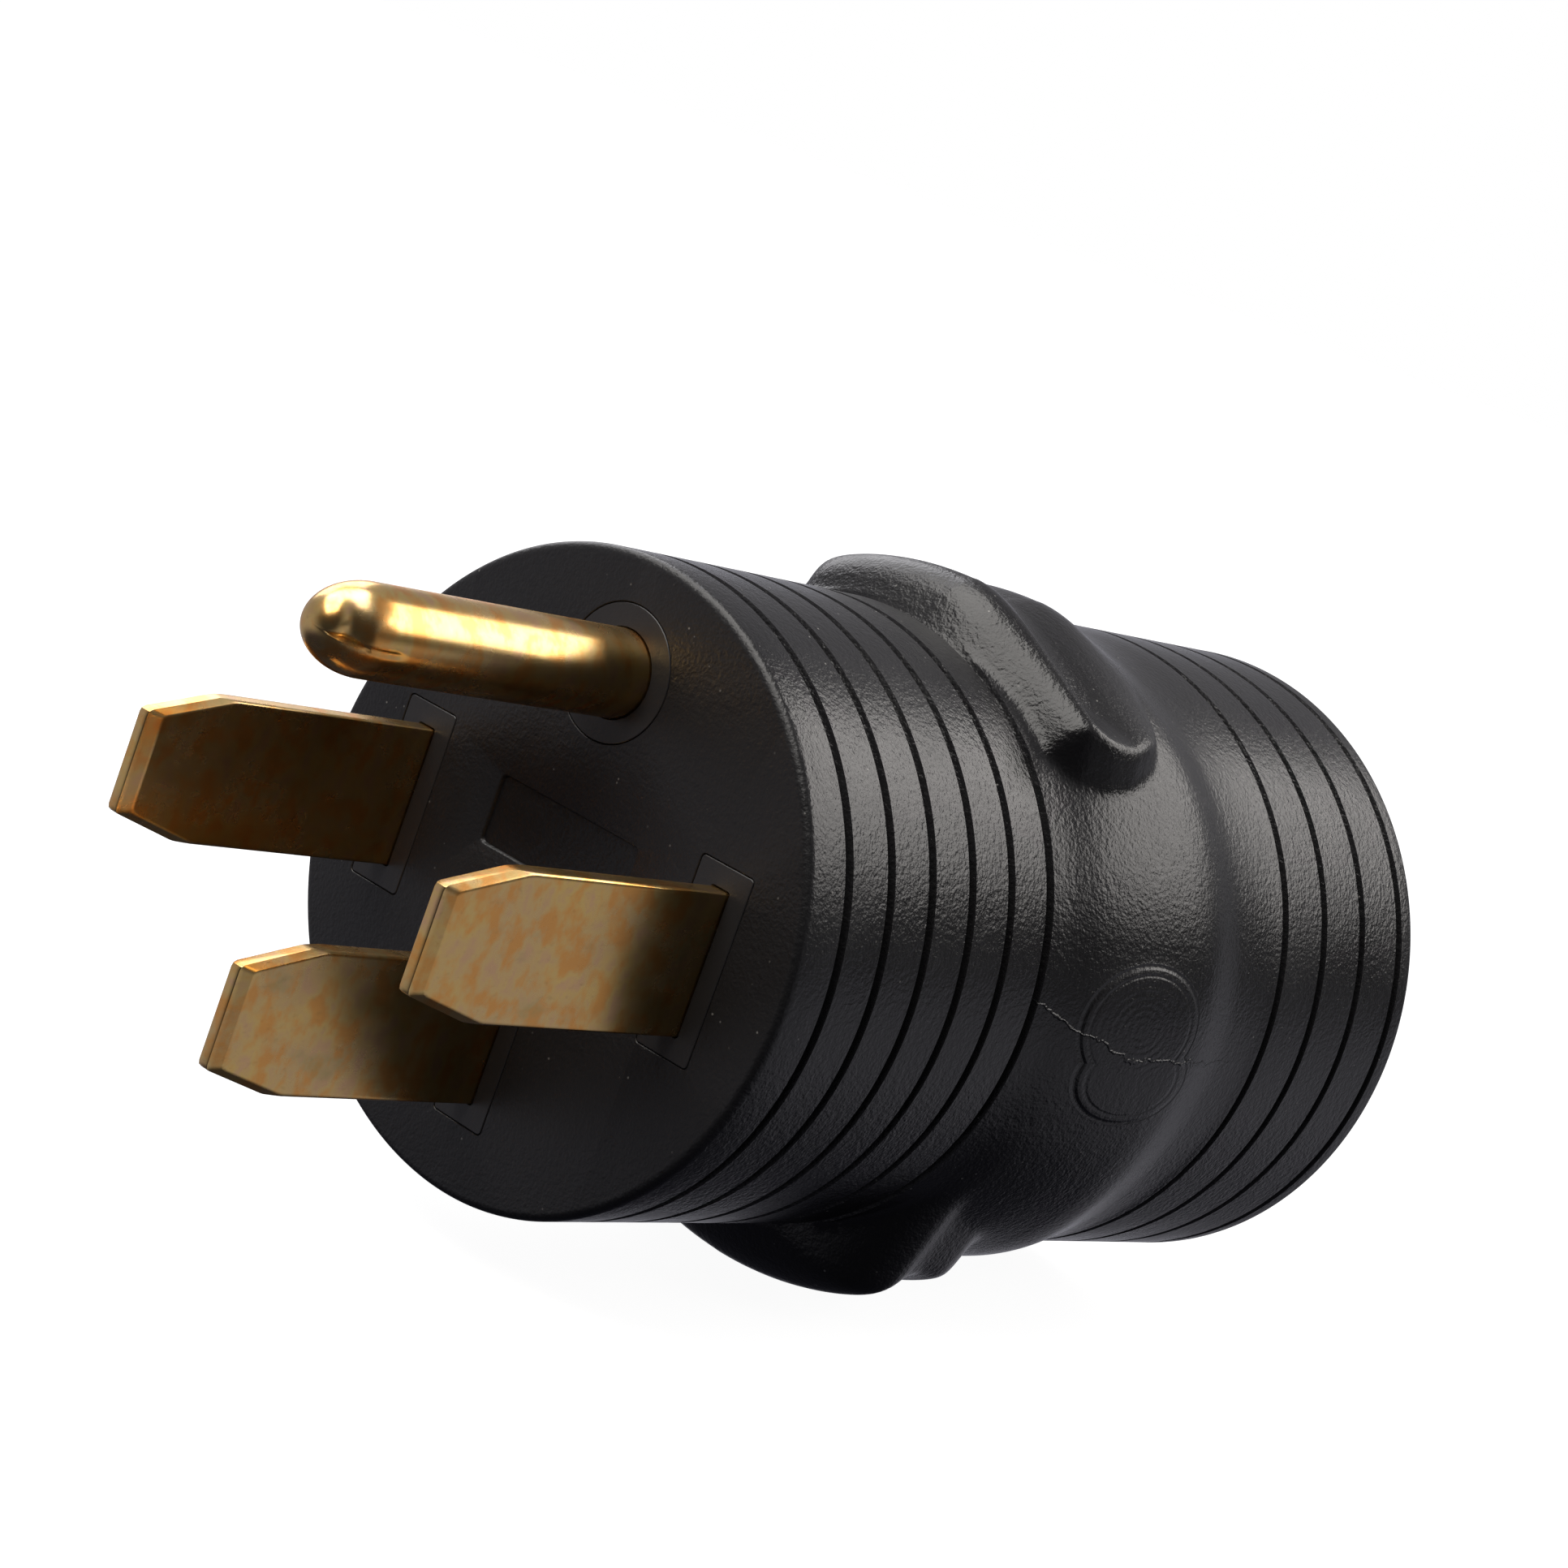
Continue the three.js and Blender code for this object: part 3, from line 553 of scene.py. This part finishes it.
def jacket_radius(along, angle):
    """Outer radius of the jacket at a grid of places."""
    crease = smooth_curve(CREASE, np.degrees(np.arccos(np.cos(angle))))
    reached = np.clip((along - COLLAR[0][0]) / (crease - COLLAR[0][0]), 0, 1)
    unshifted = along - (crease - COLLAR_CREASE) * reached
    body = smooth_curve(COLLAR, unshifted)
    body = np.where(along < COLLAR[0][0], FACE_RADIUS, body)
    behind = smooth_curve([COLLAR[-1], REAR_MIDDLE, (BODY_LENGTH, REAR_RADIUS)], along)
    body = np.where(along > COLLAR[-1][0], behind, body)
    for groove in GROOVES:
        share = np.clip(np.abs(along - groove) / GROOVE_HALF_WIDTH, 0, 1)
        body = body - GROOVE_DEPTH * (1 - share**GROOVE_SQUARENESS)
    return soft_max(body + gate_rise(along, angle), grip_radius(along, angle), GRIP_FILLET)


def edge_round(radius, end, towards):
    """Radii and distances of a rounded edge, from the flat face to the side."""
    steps = 5
    profile = []
    for i in range(steps + 1):
        turn = math.pi / 2 * i / steps
        inset = EDGE_ROUND * (1 - math.sin(turn))
        profile.append((radius - inset, end + towards * EDGE_ROUND * (1 - math.cos(turn))))
    return profile


def land_outlines(margin):
    """Outlines of the four places where the plug insert shows in the face."""
    half_x, half_z = LAND_HALF
    outlines = []
    for node in BLADES:
        x, z = centre_of(node)
        outlines.append(rounded_box(half_x + margin, half_z + margin, LAND_CORNER + margin, x, z))
    return outlines + [circle(PIN_LAND_RADIUS + margin, PIN_STEPS, 0.0, centre_of("ground_pin")[1])]


def make_jacket():
    """The black over-moulded jacket, closed, with its bore and the openings in its front wall."""
    bm = bmesh.new()
    angles = angle_stations()
    sines, cosines = np.sin(angles), np.cos(angles)

    def round_ring(radius, along):
        return ring(bm, zip(radius * sines, radius * cosines), along)

    rings = [round_ring(radius, along) for radius, along in edge_round(FACE_RADIUS, 0.0, 1)]
    for along in along_stations():
        rings.append(round_ring(jacket_radius(np.full(angles.shape, along), angles), along))
    rear_edge = [round_ring(radius, along) for radius, along in edge_round(REAR_RADIUS, BODY_LENGTH, -1)]
    rings += rear_edge[::-1]
    lock_start, lock_end, lock_radius = RIB_START - PIECE_GAP, RIB_END + PIECE_GAP, RIB_RADIUS + PIECE_GAP
    bore = [(BORE_RADIUS + BORE_CHAMFER, BODY_LENGTH), (BORE_RADIUS, BODY_LENGTH - BORE_CHAMFER),
            (BORE_RADIUS, lock_end), (lock_radius, lock_end), (lock_radius, lock_start),
            (BORE_RADIUS, lock_start), (BORE_RADIUS, FACE_WALL)]
    rings += [round_ring(radius, along) for radius, along in bore]
    bridge(bm, *rings)

    front, back = [], []
    for wide, plain in zip(land_outlines(LAND_GAP + CHAMFER), land_outlines(LAND_GAP)):
        rims = [ring(bm, wide, 0.0), ring(bm, plain, CHAMFER), ring(bm, plain, FACE_WALL)]
        bridge(bm, *rims)
        front.append(rims[0])
        back.append(rims[-1])

    (x, z), (half_x, half_z) = LABEL_RECESS["centre"], LABEL_RECESS["half"]
    recess = [ring(bm, rounded_box(half_x + grow, half_z + grow, LABEL_RECESS["corner"], x, z), along)
              for grow, along in ((0.12, 0.0), (0.0, 0.1), (-0.08, LABEL_RECESS["depth"]))]
    bridge(bm, *recess)
    fill(bm, recess[-1])
    fill(bm, rings[0], recess[0], *front)
    fill(bm, rings[-1], *back)
    add_piece("jacket_moulding", bm, jacket_plastic(), "jacket", "outer_jacket")


make_jacket()


# ---- Plug insert ----


def prong_outlines(half_width, pin_radius, margin):
    """Outlines of the three blades and the pin, at one half width and one radius, grown by a margin."""
    outlines = []
    for node in BLADES:
        x, z = centre_of(node)
        outlines.append(rounded_box(BLADE_HALF_THICKNESS + margin, half_width + margin, BLADE_CORNER, x, z))
    return outlines + [circle(pin_radius + margin, PIN_STEPS, 0.0, centre_of("ground_pin")[1])]


def make_plug_insert():
    """The insert that holds the prongs, with its four lands that show in the face."""
    bm = bmesh.new()
    disc_front, disc_back = FACE_WALL + PIECE_GAP, box_mm("plug_insert_front")[1].y
    pocket = SHOULDER_START - PIECE_GAP
    disc = circle(INSERT_RADIUS, ROUND_STEPS)
    sides = [ring(bm, disc, disc_front), ring(bm, disc, disc_back)]
    bridge(bm, *sides)
    feet, backs = [], []
    slots = prong_outlines(BLADE_HALF_WIDTH, PIN_RADIUS, PRONG_GAP)
    slot_mouths = prong_outlines(BLADE_HALF_WIDTH, PIN_RADIUS, PRONG_GAP + CHAMFER)
    rooms = prong_outlines(SHOULDER_HALF_WIDTH, PIN_FLANGE, PIECE_GAP)
    outlines = zip(land_outlines(0.0), land_outlines(-CHAMFER), slots, slot_mouths, rooms)
    for land, land_top, slot, slot_mouth, room in outlines:
        walls = [ring(bm, land, disc_front), ring(bm, land, CHAMFER), ring(bm, land_top, 0.0)]
        bridge(bm, *walls)
        inner = [ring(bm, slot_mouth, 0.0), ring(bm, slot, 1.6 * CHAMFER), ring(bm, slot, pocket),
                 ring(bm, room, pocket), ring(bm, room, disc_back)]
        bridge(bm, *inner)
        fill(bm, walls[-1], inner[0])
        feet.append(walls[0])
        backs.append(inner[-1])
    fill(bm, sides[0], *feet)
    fill(bm, sides[1], *backs)
    add_piece("plug_insert_moulding", bm, insert_plastic, "insert", "plug_insert_front")


make_plug_insert()


# ---- Prongs ----

# A blade's tip, and its tail inside the body. A tail that ends past SHORT_TAIL_END has a tab for a crimp.
BLADE_TAPER = 6.6
BLADE_TIP_HALF_WIDTH = 4.15
BLADE_EDGE = 0.16
BLADE_TIP_BEVEL = 1.2
BLADE_TIP_FOOT = 0.12
BLADE_TIP_HALF_THICKNESS = 0.5
BLADE_SOFT_CORNER = 0.4
TAIL_HALF_WIDTH = 3.0
TAB_HALF_WIDTH = 1.2
TAB_LENGTH = 4.8
SHORT_TAIL_END = 15

# The pin's nose, the seam of its fold, and the hollow beside the seam, as (distance from the tip, depth).
# The steps along its shank start close together at the nose and get longer.
PIN_NOSE = 5.6
PIN_NOSE_STEPS = 28
PIN_TURN_STEPS = 96
PIN_SHANK_STEPS = (0.12, 0.24, 0.36, 0.5, 0.7, 0.95, 1.25, 1.6, 2.2, 4, 8, 14, 20)
PIN_BORE_END = 3.4
SEAM_TURN = math.radians(101)
SEAM_DEPTH = 0.12
SEAM_HALF_WIDTH = 0.2
SEAM_END, SEAM_FADE = 7.0, 1.2
HOLLOW = [(0.4, 0), (1.2, 0.4), (1.9, 0.85), (2.3, 0.85), (3.3, 0.1), (3.7, 0)]
HOLLOW_TURN = math.radians(105)


def blade_outline(reach, back, tab, tip_inset, taper_inset, side_inset):
    """Half outline of a blade from tip to tail, as (distance along Y, half width), with three insets."""
    soft = BLADE_SOFT_CORNER
    half = BLADE_HALF_WIDTH - side_inset
    slope = (BLADE_HALF_WIDTH - BLADE_TIP_HALF_WIDTH) / BLADE_TAPER
    drawn = taper_inset * math.hypot(1, slope)
    tip = -reach + tip_inset
    at_tip = BLADE_TIP_HALF_WIDTH + slope * tip_inset - drawn
    taper_end = -reach + (half - BLADE_TIP_HALF_WIDTH + drawn) / slope
    shoulder = SHOULDER_HALF_WIDTH - side_inset
    tail = TAIL_HALF_WIDTH - side_inset
    outline = [
        (tip, at_tip - soft), (tip + 0.1, at_tip - 0.08), (tip + soft, at_tip + slope * soft),
        (taper_end - soft, half - slope * soft), (taper_end, half - 0.03), (taper_end + soft, half),
        (SHOULDER_START, half), (SHOULDER_START + side_inset, shoulder), (SHOULDER_END - side_inset, shoulder),
        (SHOULDER_END, tail), (back - side_inset, tail),
    ]
    if tab:
        outline += [(back, TAB_HALF_WIDTH - side_inset), (tab - side_inset, TAB_HALF_WIDTH - side_inset)]
    return outline


def make_blade(node):
    """A flat blade with a bevelled tip and rounded edges, in layers through its thickness.
    Each layer is a height and how far its tip, its taper and its sides are drawn in."""
    low, high = box_mm(node)
    x, z = centre_of(node)
    back, tab = high.y, None
    if high.y > SHORT_TAIL_END:
        back, tab = high.y - TAB_LENGTH, high.y
    bm = bmesh.new()
    level = BLADE_HALF_THICKNESS
    layers = [(-level, BLADE_TIP_BEVEL + 0.25, 0.75, BLADE_EDGE + 0.25),
              (-level, BLADE_TIP_BEVEL, 0.5, BLADE_EDGE)]
    for share in (0.06, 0.3, 0.7, 0.94):
        tip_inset = BLADE_TIP_BEVEL + (BLADE_TIP_FOOT - BLADE_TIP_BEVEL) * share
        height = -level + (level - BLADE_TIP_HALF_THICKNESS) * share
        edge = BLADE_EDGE * (1 - min(1.0, 2.4 * share)) ** 1.6
        layers.append((height, tip_inset, 0.5 * (1 - share), edge))
    layers += [(-BLADE_TIP_HALF_THICKNESS, 0.07, 0.0, 0.0), (0.1 - BLADE_TIP_HALF_THICKNESS, 0.0, 0.0, 0.0)]
    layers += [(-height, *insets) for height, *insets in layers[::-1]]
    rings = []
    for height, *insets in layers:
        upper = blade_outline(-low.y, back, tab, *insets)
        loop = upper + [(along, -across) for along, across in upper[::-1]]
        level_x = (x + height) * MM
        rings.append([bm.verts.new((level_x, along * MM, (z + across) * MM)) for along, across in loop])
    bridge(bm, *rings)
    fill(bm, rings[0])
    fill(bm, rings[-1])
    add_piece(node + "_brass", bm, brass, "aged_brass", node)


for blade in BLADES:
    make_blade(blade)


def make_ground_pin():
    """The folded brass ground pin, with its seam, the hollow beside the seam, a flange and a bore."""
    x, z = centre_of("ground_pin")
    tip = box_mm("ground_pin")[0].y
    turns = np.linspace(0, 2 * math.pi, PIN_TURN_STEPS, endpoint=False)
    from_seam = np.angle(np.exp(1j * (turns - SEAM_TURN)))
    deeper = np.clip((from_seam + HOLLOW_TURN) / HOLLOW_TURN, 0, 1) * (from_seam < 0.02)
    notch = np.exp(-((from_seam * PIN_RADIUS / SEAM_HALF_WIDTH) ** 2))
    bm = bmesh.new()
    rings = []
    nose_angles = [math.pi / 2 * (i / PIN_NOSE_STEPS) for i in range(1, PIN_NOSE_STEPS + 1)]
    stations = [(tip + PIN_NOSE * (1 - math.cos(a)), PIN_RADIUS * math.sin(a)) for a in nose_angles]
    stations += [(tip + PIN_NOSE + step, PIN_RADIUS) for step in PIN_SHANK_STEPS]
    stations += [(SHOULDER_START - 1, PIN_RADIUS), (SHOULDER_START, PIN_RADIUS)]
    for along, radius in stations:
        from_tip = along - tip
        hollow = np.interp(from_tip, *zip(*HOLLOW))
        seam = SEAM_DEPTH * notch * np.clip((SEAM_END - from_tip) / SEAM_FADE, 0, 1)
        radii = radius - hollow * deeper - seam * min(1.0, radius / 2.0)
        rings.append(ring(bm, zip(x + radii * np.sin(turns), z + radii * np.cos(turns)), along))
    flange = [(PIN_FLANGE, SHOULDER_START), (PIN_FLANGE, SHOULDER_END), (PIN_BORE, SHOULDER_END),
              (PIN_BORE, tip + PIN_NOSE)]
    for radius, along in flange:
        rings.append(ring(bm, zip(x + radius * np.sin(turns), z + radius * np.cos(turns)), along))
    bridge(bm, *rings)
    point = bm.verts.new((x * MM, tip * MM, z * MM))
    end = bm.verts.new((x * MM, (tip + PIN_BORE_END) * MM, z * MM))
    for i, vert in enumerate(rings[0]):
        bm.faces.new((point, vert, rings[0][(i + 1) % PIN_TURN_STEPS]))
    for i, vert in enumerate(rings[-1]):
        bm.faces.new((end, rings[-1][(i + 1) % PIN_TURN_STEPS], vert))
    add_piece("ground_pin_brass", bm, brass, "aged_brass", "ground_pin")


make_ground_pin()


# ---- Socket face ----

SLOT_HALF = (1.15, 5.1)
POCKET_HALF = (3.3, 5.3)
SLOT_TURN = math.radians(45)
GROUND_HOLE_RADIUS = 2.75
GROUND_POCKET_RADIUS = 3.6
HOLE_STEPS = 40
HOLE_FLARE = 0.35
GROUND_HOLE_FLARE = 0.4
FLARE_DEPTH = 0.5
SOCKET_WALL = 3.5
SOCKET_CORNER = 0.4
RIM_WIDTH = 2.4
FACE_INSET = 0.35


def make_socket_face():
    """The rear insert with two slanted slots and a round ground hole, and the contact pockets behind them."""
    bm = bmesh.new()
    low, high = box_mm("socket_insert_face")
    front, back = low.y, high.y
    wall, face = back - SOCKET_WALL, back - FACE_INSET
    profile = [(INSERT_RADIUS, front), (INSERT_RADIUS, RIB_START), (RIB_RADIUS, RIB_START),
               (RIB_RADIUS, RIB_END), (INSERT_RADIUS, RIB_END), (INSERT_RADIUS, back - SOCKET_CORNER),
               (INSERT_RADIUS - SOCKET_CORNER, back), (INSERT_RADIUS - RIM_WIDTH, back),
               (INSERT_RADIUS - RIM_WIDTH - 0.3, face)]
    sides = [ring(bm, circle(radius, ROUND_STEPS), along) for radius, along in profile]
    bridge(bm, *sides)
    half_x, half_z = SLOT_HALF
    holes = []
    for contact, turn in (("line_contact", -SLOT_TURN), ("neutral_contact", SLOT_TURN)):
        x, z = centre_of(contact)
        holes.append((rounded_box(half_x + HOLE_FLARE, half_z + HOLE_FLARE, 0.5, x, z, turn),
                      rounded_box(half_x, half_z, 0.25, x, z, turn),
                      rounded_box(*POCKET_HALF, 0.4, x, z, turn)))
    x, z = centre_of("ground_contact")
    radii = (GROUND_HOLE_RADIUS + GROUND_HOLE_FLARE, GROUND_HOLE_RADIUS, GROUND_POCKET_RADIUS)
    holes.append([circle(radius, HOLE_STEPS, x, z) for radius in radii])
    mouths, pockets = [], []
    for mouth, slot, pocket in holes:
        walls = [ring(bm, mouth, face), ring(bm, slot, face - FLARE_DEPTH), ring(bm, slot, wall),
                 ring(bm, pocket, wall), ring(bm, pocket, front)]
        bridge(bm, *walls)
        mouths.append(walls[0])
        pockets.append(walls[-1])
    fill(bm, sides[-1], *mouths)
    fill(bm, sides[0], *pockets)
    add_piece("socket_face_moulding", bm, insert_plastic, "insert", "socket_insert_face")


make_socket_face()


# ---- Finishes of the CAD pieces that are already right ----


def finish_nodes(material, slot, *names):
    for name in names:
        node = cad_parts[name]
        node.data.materials.clear()
        node.data.materials.append(material)


finish_nodes(insert_plastic, "insert", "plug_insert_back", "socket_insert_back")
finish_nodes(core_plastic, "core", "core_filler")
finish_nodes(spring_brass, "spring_brass", "line_contact", "neutral_contact", "ground_contact")
vinyls = {"line": ("vinyl_black", (0.02, 0.02, 0.021)), "neutral": ("vinyl_white", (0.74, 0.72, 0.67)),
          "ground": ("vinyl_green", (0.03, 0.24, 0.07))}
for lead, (slot_name, lead_colour) in vinyls.items():
    finish_nodes(vinyl(slot_name, lead_colour), slot_name, f"{lead}_lead_insulation")
    finish_nodes(copper, "copper", f"{lead}_lead_conductor")
    finish_nodes(tinned, "crimp", f"{lead}_front_crimp", f"{lead}_rear_crimp")


# ---- Stage, lights and camera ----

CAMERA_AIM = (0.0, 24.6, 10.45)
CAMERA_DISTANCE = 323.0
CAMERA_AZIMUTH = 38.5
CAMERA_ELEVATION = 9.62
CAMERA_ROLL = 20.1
CAMERA_LENS = 89.1
SOFTBOX_DISTANCE = 1500


def add_camera():
    """The camera, rolled a little. Returns its rotation, which the lights share."""
    a, e = math.radians(CAMERA_AZIMUTH), math.radians(CAMERA_ELEVATION)
    away = Vector((math.sin(a) * math.cos(e), -math.cos(a) * math.cos(e), math.sin(e)))
    data = bpy.data.cameras.new("camera")
    data.lens = CAMERA_LENS
    data.sensor_width = 36.0
    data.clip_start = 0.01
    camera = bpy.data.objects.new("camera", data)
    camera.location = Vector(CAMERA_AIM) * MM + away * CAMERA_DISTANCE * MM
    camera.rotation_mode = "QUATERNION"
    roll = Quaternion((0, 0, 1), math.radians(CAMERA_ROLL))
    camera.rotation_quaternion = away.to_track_quat("Z", "Y") @ roll
    bpy.context.scene.collection.objects.link(camera)
    bpy.context.scene.camera = camera
    return camera.rotation_quaternion


def add_softbox(name, studio, towards, size, radiance, colour, roll=0.0):
    """A rectangular light that faces the object. Its place is (right, up, back) in the studio's directions,
    radiance is how bright its face looks, and roll turns it about its own middle, in degrees."""
    right, up, back = towards
    away = (studio @ Vector((right, up, -back))).normalized()
    level = (studio @ Vector((0, 1, 0))).cross(away).normalized()
    level.rotate(Quaternion(away, math.radians(roll)))
    turned = Matrix((level, away.cross(level), away)).transposed()
    data = bpy.data.lights.new(name, "AREA")
    data.shape = "RECTANGLE"
    data.size, data.size_y = (side * MM for side in size)
    data.energy = radiance * math.pi * data.size * data.size_y
    data.color = colour
    light = bpy.data.objects.new(name, data)
    light.location = away * SOFTBOX_DISTANCE * MM
    light.rotation_euler = turned.to_euler()
    bpy.context.scene.collection.objects.link(light)


def add_floor():
    """A plain pale floor under the object, evenly lit from within so that it stays pale to its edge."""
    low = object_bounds()[0]
    bm = bmesh.new()
    bmesh.ops.create_circle(bm, cap_ends=True, radius=6.0, segments=64)
    mesh = bpy.data.meshes.new("floor")
    bm.to_mesh(mesh)
    bm.free()
    floor = bpy.data.objects.new("floor", mesh)
    floor.location = (0.0, 0.0, low.z)
    material, _, shader = new_material("floor", roughness=0.9)
    shader.inputs["Base Color"].default_value = (0.2, 0.2, 0.2, 1.0)
    shader.inputs["Emission Color"].default_value = (1.0, 1.0, 1.0, 1.0)
    shader.inputs["Emission Strength"].default_value = 0.95
    mesh.materials.append(material)
    floor.visible_diffuse = False
    floor.visible_glossy = False
    bpy.context.scene.collection.objects.link(floor)


def add_world(view, right):
    """White to the camera. To the object it is a soft grey room with a dark floor.
    It is dark towards the viewer and in a low band on the right, and pale straight behind the object."""
    world = bpy.data.worlds.new("studio")
    world.use_nodes = True
    tree = world.node_tree
    background = tree.nodes["Background"]
    towards = add_node(tree, "ShaderNodeTexCoord", {}).outputs["Generated"]
    height = add_node(tree, "ShaderNodeSeparateXYZ", {"Vector": towards}).outputs["Z"]
    lower = mix_colour(tree, remap(tree, height, -0.64, -0.4), (0.03, 0.03, 0.04), (0.32, 0.315, 0.35))
    room = mix_colour(tree, remap(tree, height, -0.1, 0.3), lower, (0.27, 0.265, 0.28))
    ahead = along_direction(tree, towards, view)
    room = mix_colour(tree, remap(tree, ahead, -0.35, -0.8), room, (0.03, 0.03, 0.035))
    room = mix_colour(tree, remap(tree, ahead, 0.93, 0.99), room, (0.75, 0.75, 0.85))
    low_band = math_node(tree, "MULTIPLY", remap(tree, height, -0.12, 0.04), remap(tree, height, 0.34, 0.22))
    aside = remap(tree, along_direction(tree, towards, right), 0.65, 0.88)
    dark = math_node(tree, "MULTIPLY", low_band, aside)
    room = mix_colour(tree, dark, room, (0.06, 0.06, 0.063))
    path = add_node(tree, "ShaderNodeLightPath", {})
    shown = mix_colour(tree, path.outputs["Is Camera Ray"], room, (1.0, 1.0, 1.0))
    tree.links.new(shown, background.inputs["Color"])
    bpy.context.scene.world = world


studio_axes = add_camera()
add_world(studio_axes @ Vector((0, 0, -1)), studio_axes @ Vector((1, 0, 0)))
add_softbox("side_softbox", studio_axes, (0.913, 0.332, 0.238), (1270, 640), 3.4, (1.0, 0.96, 0.92), 41.5)
add_softbox("top_softbox", studio_axes, (0.0, 0.95, -0.31), (1210, 1875), 4.2, (1.0, 0.97, 0.93))
add_softbox("back_softbox", studio_axes, (-0.17, 0.75, 0.64), (900, 1000), 2.3, (0.98, 0.97, 1.0))
add_floor()
bpy.context.scene.view_settings.view_transform = "Standard"
